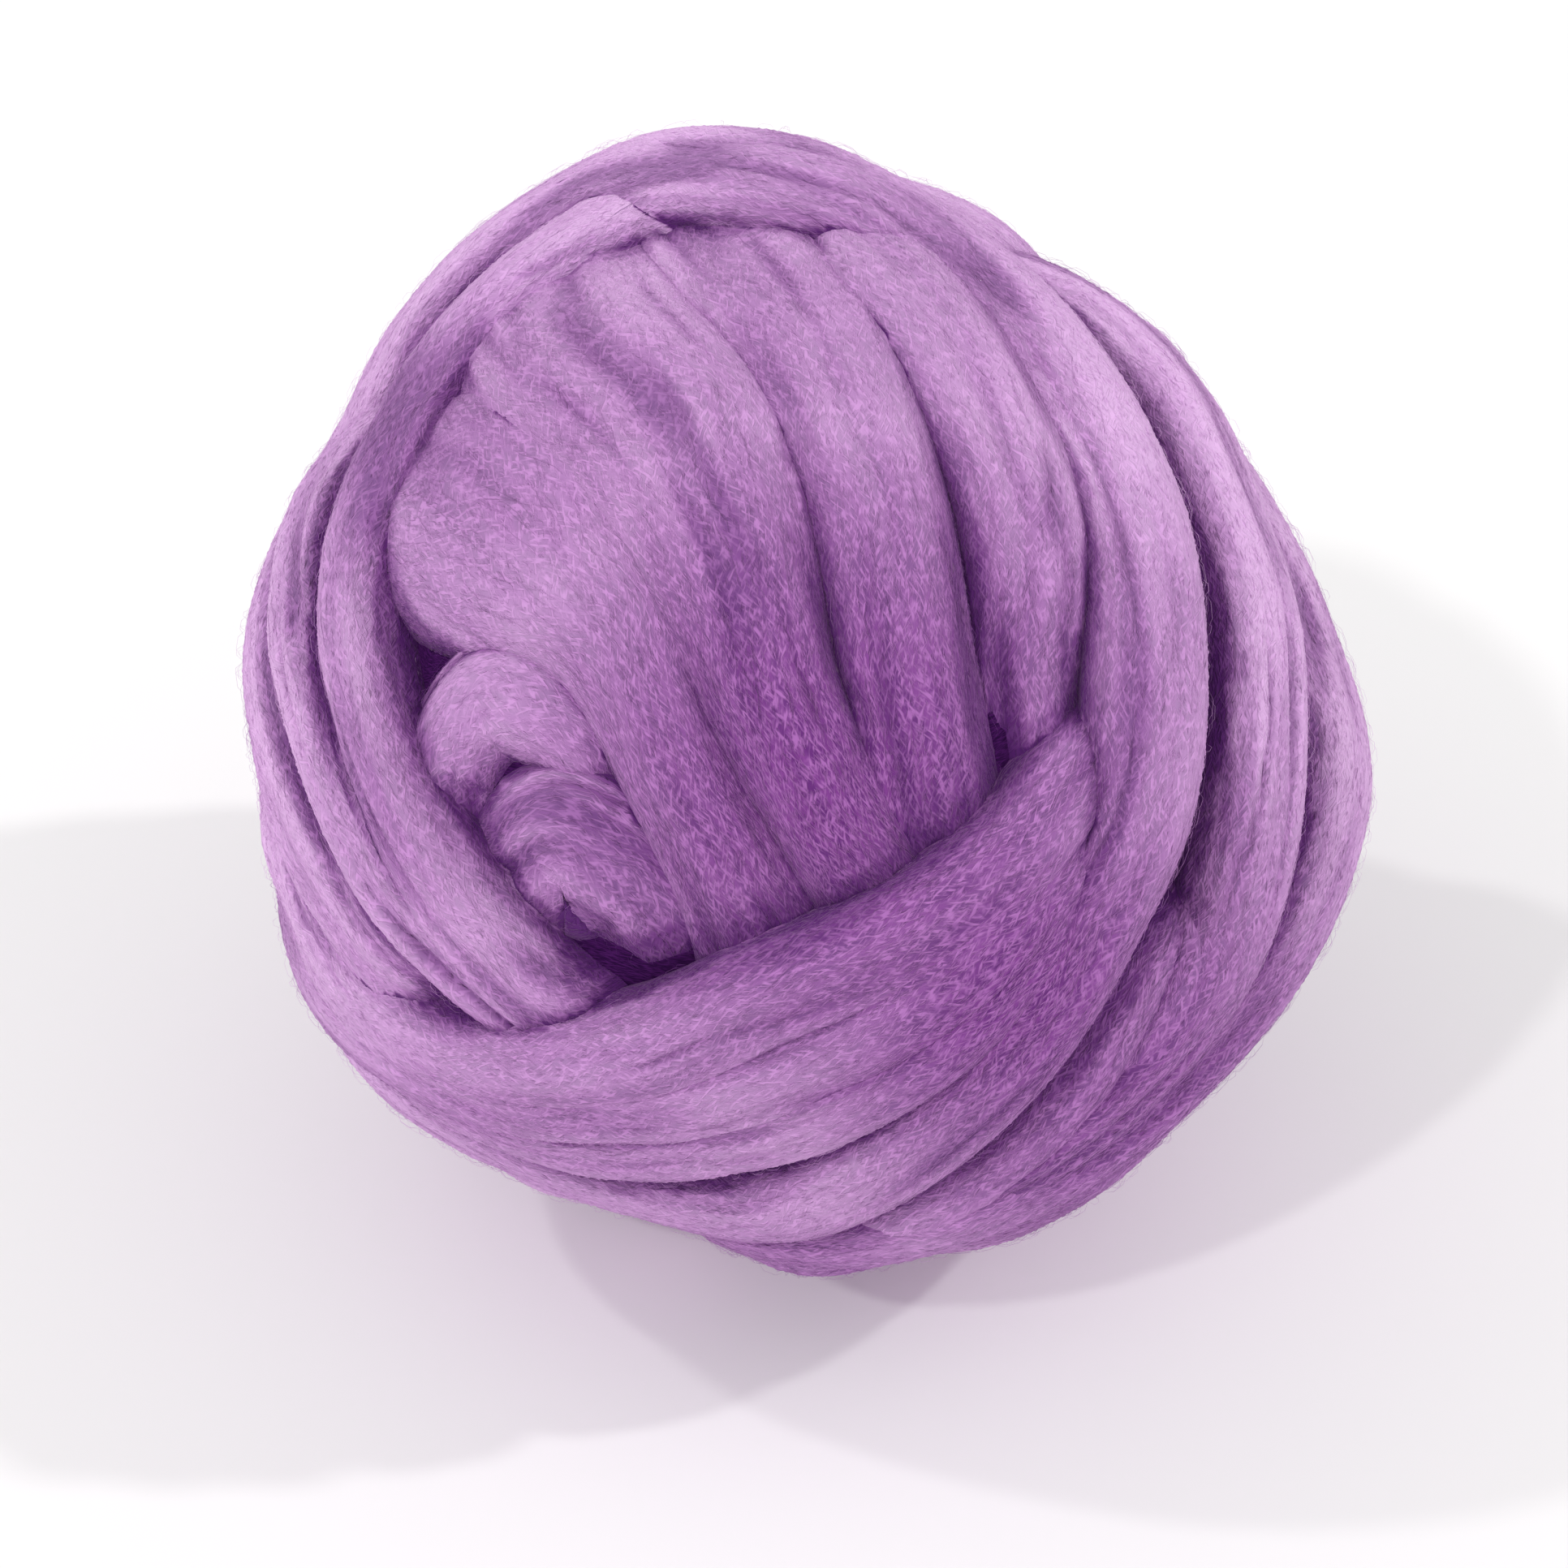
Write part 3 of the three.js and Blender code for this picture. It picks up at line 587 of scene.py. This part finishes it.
def turn_mesh(name, grid):
    """Rolls a flat grid round into the turn and closes its seam and its ends."""
    points, distances, depths = grid["points"], grid["distances"], grid["depths"]
    rows, columns = grid["areas"].shape
    bm = bmesh.new()
    bmesh.ops.create_grid(bm, x_segments=rows - 1, y_segments=columns - 1, size=0.5)
    fibre_map = bm.loops.layers.uv.new("fibres")
    bake_map = bm.loops.layers.uv.new("OFBake")
    layers = [bm.verts.layers.float.new(key) for key in PAINTED_LIGHT_KEYS]
    spots = {
        vert: (round((vert.co.x + 0.5) * (rows - 1)), round((vert.co.y + 0.5) * (columns - 1)))
        for vert in bm.verts
    }
    for face in bm.faces:
        for loop in face.loops:
            i, j = spots[loop.vert]
            loop[fibre_map].uv = distances[i, j]
            loop[bake_map].uv = (i / (rows - 1), j / (columns - 1))
    for vert, spot in spots.items():
        vert.co = points[spot]
        for layer, value in zip(layers, depths[spot]):
            vert[layer] = value
    bmesh.ops.remove_doubles(bm, verts=bm.verts, dist=MERGE_WITHIN)
    bmesh.ops.recalc_face_normals(bm, faces=bm.faces)
    return made_object("turn_" + name, bm)


turns = {name: turn_mesh(name, grid) for name, grid in grids.items()}
print("turn triangles:", sum(2 * len(piece.data.polygons) for piece in turns.values()))


# %% The core
def core_ball():
    """Plain wool under all the turns, so that no light passes through the ball."""
    bm = bmesh.new()
    fibre_map = bm.loops.layers.uv.new("fibres")
    bmesh.ops.create_icosphere(bm, subdivisions=5, radius=CORE_RADIUS, calc_uvs=True)
    bmesh.ops.translate(bm, verts=bm.verts, vec=WINDING_MIDDLE)
    for face in bm.faces:
        for loop in face.loops:
            loop[fibre_map].uv *= 2 * math.pi * CORE_RADIUS
    return made_object("inner_wool", bm)


core = core_ball()

# %% [markdown]
# ## Fibres
# What makes wool look like wool is its fibres. Most lie along the turn and cross each other
# at small angles; some are long, and a few stand off and blur the outline. Hair particles
# would draw them quickly, but they don't export, so each fibre is a small closed shape. The
# finest ones, of which there are most, have only four faces. The others are spindles with
# three sides. Each shape is made once with bmesh, and arrays repeat it along thousands of
# short paths, joined into a few meshes.

# %% The two shapes of a fibre
# A shape is given by the level of each corner along the fibre, the corner's way off the path,
# to the side and up, and the faces.
FINEST_PLACES = 3  # a path with so few places carries the shape with four faces
POLE = 0.01  # a corner nearer to the path than this is a pointed end


def corners_and_faces(bm):
    """Reads a finished bmesh and frees it."""
    corners = np.array([vert.co for vert in bm.verts])
    faces = np.array([[vert.index for vert in face.verts] for face in bm.faces])
    bm.free()
    return corners, faces


def spindle(places):
    """A closed shape with three sides and a pointed end at each of its two poles."""
    bm = bmesh.new()
    bmesh.ops.create_uvsphere(bm, u_segments=3, v_segments=places - 1, radius=1)
    bmesh.ops.triangulate(bm, faces=bm.faces)
    corners, faces = corners_and_faces(bm)
    heights = np.round(corners[:, 2], 3)
    level = np.searchsorted(np.unique(heights), heights)
    radius = np.linalg.norm(corners[:, :2], axis=1, keepdims=True)
    return level, np.where(radius > POLE, corners[:, :2] / np.maximum(radius, POLE), 0), faces


def sliver():
    """A closed shape with four faces, for the finest fibres: two tips and two raised sides."""
    bm = bmesh.new()
    bmesh.ops.create_circle(bm, segments=4, radius=1)
    for vert in bm.verts:
        vert.co.z = abs(vert.co.x)
    bmesh.ops.convex_hull(bm, input=bm.verts)
    bmesh.ops.recalc_face_normals(bm, faces=bm.faces)
    corners, faces = corners_and_faces(bm)
    corners = np.round(corners, 3)
    return corners[:, 1].astype(int) + 1, corners[:, :2] * (1, 0), faces


# %% One shape, repeated along paths
def bake_spots(count, level, around):
    """A small square of the bake for each fibre, and each corner's spot in it."""
    cells = math.ceil(math.sqrt(count))
    cell = np.stack([np.arange(count) % cells, np.arange(count) // cells], 1)
    inside = np.stack([level / level.max(), (around[:, 0] + 1) / 2], 1)
    return ((cell[:, None] + 0.15 + 0.7 * inside) / cells).reshape(-1, 2)


def fibre_mesh(name, shape, paths, thickness, tone, depths):
    """Joins one shape along every path into one object. paths is (fibres, places, 3)."""
    level, around, faces = shape
    along = unit(np.gradient(paths, axis=1))
    side = unit(np.cross(along, paths - WINDING_MIDDLE))
    lift = np.cross(side, along)
    ring = side[:, level] * around[:, :1] + lift[:, level] * around[:, 1:]
    corners = rested(paths[:, level] + ring * thickness[:, None, None] / 2)
    mesh = bpy.data.meshes.new(name)
    steps = len(level) * np.arange(len(paths))
    mesh.from_pydata(corners.reshape(-1, 3), [], (faces + steps[:, None, None]).reshape(-1, 3))
    for key, values in (("tone", tone), *zip(PAINTED_LIGHT_KEYS, depths.T)):
        data = mesh.attributes.new(key, "FLOAT", "POINT").data
        data.foreach_set("value", np.repeat(values, len(level)).astype(np.float32))
    corner_of = np.empty(len(mesh.loops), np.int32)
    mesh.loops.foreach_get("vertex_index", corner_of)
    spots = bake_spots(len(paths), level, around)[corner_of]
    mesh.uv_layers.new(name="OFBake").uv.foreach_set("vector", spots.ravel())
    mesh.shade_smooth()
    piece = bpy.data.objects.new(name, mesh)
    bpy.context.scene.collection.objects.link(piece)
    return piece


# %% Where fibres start
def on_grid(values, i, j):
    """Values of a grid at places between its points."""
    i = np.clip(i, 0, values.shape[0] - 1.001)
    j = np.clip(j, 0, values.shape[1] - 1.001)
    row, column = i.astype(int), j.astype(int)
    a, b = (i - row)[..., None], (j - column)[..., None]
    near = values[row, column] * (1 - b) + values[row, column + 1] * b
    far = values[row + 1, column] * (1 - b) + values[row + 1, column + 1] * b
    return near * (1 - a) + far * a


def starts_on(grid, density, rng):
    """Random open places on a turn, density of them for each square metre."""
    weight = np.where(grid["covered"], 0, grid["areas"])
    count = rng.poisson(weight.sum() * density)
    chosen = rng.choice(weight.size, count, p=weight.ravel() / max(weight.sum(), 1e-12))
    i, j = np.unravel_index(chosen, weight.shape)
    i = np.clip(i + rng.uniform(-0.5, 0.5, count), 0, weight.shape[0] - 1.001)
    return i, np.clip(j + rng.uniform(-0.5, 0.5, count), 0, weight.shape[1] - 1.001)


# %% The paths of fibres
ENDS_SUNK = 0.06 * MM
WAVINESS = 0.035  # how far a place strays to the side, over the fibre's length
UNEVENNESS = 0.02 * MM  # how far a place strays up or down
TONE_BANDS, BAND_TONE = (14 * MM, 0.7 * MM), 0.35  # the wool is paler and darker in bands
OWN_TONE = 0.35  # and each fibre is a little paler or darker than its band
LEAST_STEP = 0.01 * MM  # the grid's points are never taken as closer than this


def fibre_paths(grid, density, length, spread, places, lifts, rng):
    """Paths on a turn. length is a range, spread the angle off the turn's run, lifts a range."""
    i, j = starts_on(grid, density, rng)
    count = len(i)
    points, normals = grid["points"], grid["normals"]
    row_step = np.linalg.norm(on_grid(points, i + 0.5, j) - on_grid(points, i - 0.5, j), axis=1)
    column_step = np.linalg.norm(on_grid(points, i, j + 0.5) - on_grid(points, i, j - 0.5), axis=1)
    size = rng.uniform(*length, count)
    angle = np.radians(rng.normal(0, spread, count))
    t = np.linspace(-0.5, 0.5, places)
    wave = rng.normal(0, WAVINESS, (count, places)) * size[:, None]
    ahead = size[:, None] * np.cos(angle)[:, None] * t
    aside = size[:, None] * np.sin(angle)[:, None] * t + wave
    at_i = i[:, None] + ahead / np.maximum(row_step, LEAST_STEP)[:, None]
    at_j = j[:, None] + aside / np.maximum(column_step, LEAST_STEP)[:, None]
    lift = rng.uniform(*lifts, count)[:, None] * (1 - (2 * t) ** 2) - ENDS_SUNK * (2 * t) ** 2
    lift = lift + UNEVENNESS * rng.standard_normal((count, places))
    paths = on_grid(points, at_i, at_j) + on_grid(normals, at_i, at_j) * lift[..., None]
    along, girth = on_grid(grid["distances"], i, j).T
    tone = 0.5 + BAND_TONE * ripple(rng, along, girth, *TONE_BANDS)
    tone = np.clip(tone + rng.uniform(-OWN_TONE, OWN_TONE, count), 0, 1)
    return paths, on_grid(grid["depths"], i, j), tone


# %% Lay the fibres
# Columns: name, fibres for each square metre, shortest and longest in millimetres, spread in
# degrees, places along a fibre, lowest and highest lift, and thinnest and thickest, both in
# millimetres
FIBRES = (
    ("fibres_short", 14e5, (0.9, 2.4), 9, 3, (0.02, 0.14), (0.08, 0.14)),
    ("fibres_long", 0.5e5, (5, 14), 7, 5, (0.03, 0.25), (0.05, 0.08)),
    ("fibres_loose", 1.75e5, (2, 6), 26, 4, (0.2, 1.1), (0.03, 0.05)),
)
FIRST_SEED = 100
MOST_TRIANGLES = 190_000  # in one piece


def in_metres(sizes):
    return [size * MM for size in sizes]


fuzz = []
for number, (name, density, length, spread, places, lifts, widths) in enumerate(FIBRES):
    rng = np.random.default_rng(FIRST_SEED + number)
    parts = [
        fibre_paths(grid, density, in_metres(length), spread, places, in_metres(lifts), rng)
        for grid in grids.values()
    ]
    paths, depths, tones = (np.concatenate(values) for values in zip(*parts))
    shape = sliver() if places == FINEST_PLACES else spindle(places)
    order = rng.permutation(len(paths))
    pieces = math.ceil(len(paths) * len(shape[2]) / MOST_TRIANGLES)
    for k, some in enumerate(np.array_split(order, pieces)):
        thickness = rng.uniform(*in_metres(widths), len(some))
        own = (paths[some], thickness, tones[some], depths[some])
        piece = fibre_mesh(f"{name}_{k + 1}", shape, *own)
        fuzz.append(piece)
        print(piece.name, len(piece.data.polygons), "triangles")

# %% [markdown]
# ## Camera, light and floor
# The camera looks straight at the open face, from 35 degrees above level. Three soft lamps
# stand round the ball and pale screens fill the rest, as in a small product studio. Area
# lamps would light it as well, but sun lamps give the floor its even shadows with few samples.

# %% Camera
CAMERA_DISTANCE = 583.8 * MM
LENS = 100  # mm, on a sensor 36 mm wide
AIM_LEFT = 1.3 * MM
AIM_DOWN = 9.1 * MM

face_axis = Vector((0, -math.cos(FACE_LEAN), math.sin(FACE_LEAN)))
face_up = Vector((0, math.sin(FACE_LEAN), math.cos(FACE_LEAN)))
camera = bpy.data.objects.new("camera", bpy.data.cameras.new("camera"))
camera.data.lens = LENS
camera.data.sensor_width = 36
camera.data.clip_start = 0.05
camera.data.clip_end = 50
camera.location = Vector(WINDING_MIDDLE) + face_axis * CAMERA_DISTANCE
aim = Vector(WINDING_MIDDLE) - Vector((AIM_LEFT, 0, 0)) - face_up * AIM_DOWN
camera.rotation_euler = (aim - camera.location).to_track_quat("-Z", "Y").to_euler()
bpy.context.scene.collection.objects.link(camera)
bpy.context.scene.camera = camera

# %% Lamps
# Columns: name, bearing of the lamp in degrees clockwise from +Y, elevation, strength,
# softness in degrees
LAMPS = (
    ("lamp_right", 91.5, 41, 0.72, 3),
    ("lamp_left", 274.5, 50, 0.45, 3),
    ("lamp_left_front", 216, 44, 0.55, 3),
)


def add_lamp(name, bearing, elevation, strength, softness):
    lamp = bpy.data.objects.new(name, bpy.data.lights.new(name, "SUN"))
    lamp.data.energy = strength
    lamp.data.angle = math.radians(softness)
    b, e = math.radians(bearing), math.radians(elevation)
    towards = Vector((math.sin(b) * math.cos(e), math.cos(b) * math.cos(e), math.sin(e)))
    lamp.rotation_euler = towards.to_track_quat("Z", "Y").to_euler()
    bpy.context.scene.collection.objects.link(lamp)


for lamp in LAMPS:
    add_lamp(*lamp)

# %% [markdown]
# ## Materials
# Wool is matt and has no pattern of its own, but its fibres show everywhere as fine lines
# that run along the turn. These lines and streaks are one node group, which the turns and the
# core both use. They are noise that is drawn out along the piece's own map, since an image
# would blur close up. A second group, which the turns and the single fibres use, paints light
# and shade into the colour by the values that were measured before: painted shade in folds,
# creases and a few listed places, painted highlights on the open crests. A single fibre is too
# thin for lines and has one tone.

# %% Node helpers
def add_node(tree, kind, inputs=None, **settings):
    """A new node. An input is given a value, or the socket that feeds it."""
    node = tree.nodes.new(kind)
    for key, value in settings.items():
        setattr(node, key, value)
    for key, value in (inputs or {}).items():
        if isinstance(value, bpy.types.NodeSocket):
            tree.links.new(value, node.inputs[key])
        else:
            node.inputs[key].default_value = value
    return node


def math_node(tree, operation, *values):
    return add_node(tree, "ShaderNodeMath", dict(enumerate(values)), operation=operation).outputs[0]


def between(tree, value, low, high, to_low=0.0, to_high=1.0):
    """Maps a value smoothly from one range to another."""
    inputs = {0: value, 1: low, 2: high, 3: to_low, 4: to_high}
    return add_node(
        tree, "ShaderNodeMapRange", inputs, interpolation_type="SMOOTHSTEP"
    ).outputs[0]


def mixed(tree, share, one, two):
    """Mixes two colours."""
    return add_node(tree, "ShaderNodeMix", {0: share, 6: one, 7: two}, data_type="RGBA").outputs[2]


def new_material(name):
    """An empty material: itself, its node tree and its shader."""
    material = bpy.data.materials.new(name)
    material.use_nodes = True
    return material, material.node_tree, material.node_tree.nodes["Principled BSDF"]


def set_surface(shader, roughness, specular):
    shader.inputs["Roughness"].default_value = roughness
    shader.inputs["Specular IOR Level"].default_value = specular


# %% Screens
# Columns: direction of the screen's middle (x, y, z) and its strength
SCREENS = (
    (0, -1, 0, 0.74),
    (1, 0, 0, 0.53),
    (-1, 0, 0, 0.72),
    (0, 1, 0, 0.35),
    (0, -0.707, 0.707, 0.44),
    (0, 0.707, 0.707, 0.15),
)
SCREEN_EDGE = 3.0  # larger makes smaller screens


def screen_light(tree, direction, x, y, z, strength):
    """Light that fades smoothly away from a screen's middle."""
    towards = add_node(
        tree, "ShaderNodeVectorMath", {0: direction, 1: (x, y, z)}, operation="DOT_PRODUCT"
    ).outputs["Value"]
    nearness = math_node(tree, "MULTIPLY_ADD", towards, 0.5, 0.5)
    return math_node(tree, "MULTIPLY", math_node(tree, "POWER", nearness, SCREEN_EDGE), strength)


world = bpy.data.worlds.new("studio")
world.use_nodes = True
sky = world.node_tree
direction = add_node(sky, "ShaderNodeTexCoord").outputs["Generated"]
light = 0.0
for screen in SCREENS:
    light = math_node(sky, "ADD", light, screen_light(sky, direction, *screen))
sky.nodes["Background"].inputs["Color"].default_value = (1, 1, 1, 1)
sky.links.new(light, sky.nodes["Background"].inputs["Strength"])
world.cycles.sampling_method = "NONE"  # the screens are broad, so they need no map
bpy.context.scene.world = world
bpy.context.scene.view_settings.view_transform = "Standard"

# %% The effect of combed fibres
SWAY_SPOTS = (9 * MM, 4 * MM)  # run and gap of the noise that bends the lines
SWAY = 1.2 * MM
# Columns: degrees off the turn's run, then run and gap of the lines
LINES = ((8, 1.9 * MM, 0.19 * MM), (-10, 1.7 * MM, 0.18 * MM))
LINE_EDGES = (-0.08, 0.22)  # noise values where a line begins and where it is full
THIN_STREAKS = (12 * MM, 0.6 * MM)
STREAK_EDGES = (0.34, 0.66)


def stretched_noise(tree, vector, angle, run, gap, detail):
    """Noise drawn out along a direction: run metres long and gap metres wide."""
    turned = add_node(
        tree,
        "ShaderNodeVectorRotate",
        {"Vector": vector, "Angle": math.radians(angle)},
        rotation_type="Z_AXIS",
    )
    sized = add_node(
        tree,
        "ShaderNodeVectorMath",
        {0: turned.outputs[0], 1: (1 / run, 1 / gap, 1)},
        operation="MULTIPLY",
    )
    noise = add_node(
        tree,
        "ShaderNodeTexNoise",
        {"Vector": sized.outputs[0], "Scale": 1.0, "Detail": detail, "Roughness": 0.6},
        noise_dimensions="2D",
    )
    return noise.outputs[0]


def new_group(name, inputs, outputs):
    """An empty node group with its start and end. Sockets are given by name and kind."""
    group = bpy.data.node_groups.new(name, "ShaderNodeTree")
    for sockets, way in ((inputs, "INPUT"), (outputs, "OUTPUT")):
        for socket, kind in sockets.items():
            group.interface.new_socket(socket, in_out=way, socket_type="NodeSocket" + kind)
    return group, group.nodes.new("NodeGroupInput"), group.nodes.new("NodeGroupOutput")


def combed_group():
    """Fine lines that run along the wool and cross at small angles, and wider streaks."""
    outputs = {"Lines": "Float", "Streaks": "Float"}
    group, start, end = new_group("combed_wool", {"Vector": "Vector"}, outputs)
    sway = stretched_noise(group, start.outputs[0], 0, *SWAY_SPOTS, 0.0)
    shift = math_node(group, "MULTIPLY_ADD", sway, SWAY, -SWAY / 2)
    offset = add_node(group, "ShaderNodeCombineXYZ", {1: shift})
    swayed = add_node(
        group, "ShaderNodeVectorMath", {0: start.outputs[0], 1: offset.outputs[0]}
    ).outputs[0]
    one, two = (stretched_noise(group, swayed, *line, 1.0) for line in LINES)
    crossing = math_node(group, "SUBTRACT", math_node(group, "MAXIMUM", one, two), 0.5)
    group.links.new(between(group, crossing, *LINE_EDGES), end.inputs["Lines"])
    thin = stretched_noise(group, swayed, 0, *THIN_STREAKS, 0.0)
    group.links.new(between(group, thin, *STREAK_EDGES), end.inputs["Streaks"])
    return group


combed = combed_group()

# %% Painted light and shade
# Painted shade: the colour that creases, folds and the listed places are mixed towards
PAINTED_SHADE_COLOUR = (0.075, 0.010, 0.125, 1)
# Painted highlight: the pale colour of open crests and of the outer turns
PAINTED_HIGHLIGHT_COLOUR = (0.75, 0.48, 0.78, 1)
HIGHLIGHT_SHARE = 0.8  # of the painted highlight colour on open wool away from the places of painted shade
OPEN_SHADE = 0.5  # wool in more shade than this gets no painted highlight
FOLD_SHADE_SHARE = 0.45  # of the painted shade colour at the bottom of a fold
CREASE_SHARE = 0.95  # and in a crease
CREASE_SHADE = (0.06, 0.54)  # shade where a crease begins and where it is full
PLACE_SHADE_SHARE = 0.42  # and at the places of painted shade


def painted_light_group():
    """A colour with painted highlights on open crests, and painted shade in folds, in creases and
    at the places of painted shade.
    """
    group, start, end = new_group("wool_painted_light", {"Color": "Color"}, {"Color": "Color"})
    shade, painted_shade_spot, fold_light_and_streak = (
        add_node(group, "ShaderNodeAttribute", attribute_name=key).outputs["Fac"] for key in PAINTED_LIGHT_KEYS
    )
    # Painted highlight on open crests and ridges, strongest on the outer turns
    away = math_node(group, "MULTIPLY_ADD", painted_shade_spot, -HIGHLIGHT_SHARE, HIGHLIGHT_SHARE)
    pale = math_node(group, "MULTIPLY", between(group, shade, 0.0, OPEN_SHADE, 1.0, 0.0), away)
    pale = math_node(group, "MULTIPLY", pale, between(group, fold_light_and_streak, 0.1, 0.9, 0.6, 1.2))
    crest = mixed(group, pale, start.outputs[0], PAINTED_HIGHLIGHT_COLOUR)
    # Painted shade at the bottom of folds
    folded = mixed(group, between(group, fold_light_and_streak, 0.0, 0.6, FOLD_SHADE_SHARE, 0.0), crest, PAINTED_SHADE_COLOUR)
    # Painted shade in creases, by the share of sky that neighbours hide
    crease = between(group, shade, *CREASE_SHADE, 0.0, CREASE_SHARE)
    # Painted shade at the listed places: the middle of the open face and a few round it
    place_shade = math_node(group, "MULTIPLY", painted_shade_spot, PLACE_SHADE_SHARE)
    colour = mixed(group, place_shade, mixed(group, crease, folded, PAINTED_SHADE_COLOUR), PAINTED_SHADE_COLOUR)
    group.links.new(colour, end.inputs[0])
    return group


light_painting = painted_light_group()

# %% Wool of the turns
DARK = (0.15, 0.029, 0.20, 1)
MIDDLE = (0.27, 0.062, 0.32, 1)
PALE = (0.54, 0.20, 0.59, 1)
LINE_HEIGHT = 0.15 * MM


def combed_lines(tree):
    """The node of the combed effect, on the piece's own map."""
    where = add_node(tree, "ShaderNodeUVMap", uv_map="fibres")
    return add_node(tree, "ShaderNodeGroup", {"Vector": where.outputs[0]}, node_tree=combed)


def colour_wool(tree, shader, colour):
    """Gives a colour its painted light and shade, and the faint purple sheen of wool."""
    painted_node = add_node(tree, "ShaderNodeGroup", {"Color": colour}, node_tree=light_painting)
    tree.links.new(painted_node.outputs[0], shader.inputs["Base Color"])
    shader.inputs["Sheen Weight"].default_value = 0.25
    shader.inputs["Sheen Roughness"].default_value = 0.4
    shader.inputs["Sheen Tint"].default_value = (0.9, 0.5, 0.95, 1)


def turn_wool():
    material, tree, shader = new_material("wool_turns")
    effect = combed_lines(tree)
    ground = mixed(tree, effect.outputs["Streaks"], DARK, MIDDLE)
    colour_wool(tree, shader, mixed(tree, effect.outputs["Lines"], ground, PALE))
    relief = {"Strength": 0.9, "Distance": LINE_HEIGHT, "Height": effect.outputs["Lines"]}
    bump = add_node(tree, "ShaderNodeBump", relief)
    tree.links.new(bump.outputs[0], shader.inputs["Normal"])
    set_surface(shader, roughness=0.9, specular=0.2)
    return material


# %% Wool deep inside, in painted shade
# Painted shade: the core's colours are near black, as it only shows in deep gaps
CORE_SHADE_DARK = (0.022, 0.003, 0.040, 1)
CORE_SHADE_PALE = (0.060, 0.009, 0.095, 1)


def core_shade_wool():
    """The core shows only at the bottom of a few gaps, so its wool is given the almost black colour
    of painted shade.
    """
    material, tree, shader = new_material("wool_inside_painted_shade")
    lines = combed_lines(tree).outputs["Lines"]
    tree.links.new(mixed(tree, lines, CORE_SHADE_DARK, CORE_SHADE_PALE), shader.inputs["Base Color"])
    set_surface(shader, roughness=1.0, specular=0.05)
    return material


# %% Wool of the single fibres
FIBRE_DARK = (0.15, 0.030, 0.20, 1)
FIBRE_PALE = (0.56, 0.215, 0.61, 1)


def fibre_wool():
    material, tree, shader = new_material("wool_fibres")
    tone = add_node(tree, "ShaderNodeAttribute", attribute_name="tone")
    colour_wool(tree, shader, mixed(tree, tone.outputs["Fac"], FIBRE_DARK, FIBRE_PALE))
    set_surface(shader, roughness=0.7, specular=0.2)
    return material


# %% Floor
def floor_paper():
    material, _, shader = new_material("floor_paper")
    shader.inputs["Base Color"].default_value = (0.9, 0.895, 0.89, 1)
    set_surface(shader, roughness=0.9, specular=0.2)
    return material


FLOOR_HALF = 3  # metres
bm = bmesh.new()
bmesh.ops.create_grid(bm, x_segments=1, y_segments=1, size=FLOOR_HALF)
floor = made_object("floor", bm)
floor.data.materials.append(floor_paper())

# %% Dress the frame
LOOKS = ((turn_wool(), turns.values()), (core_shade_wool(), [core]), (fibre_wool(), fuzz))
for look, pieces in LOOKS:
    print(look.name, "on", len(pieces), "pieces")
    for piece in pieces:
        piece.data.materials.append(look)
        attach(piece, "root")
        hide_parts("ball")
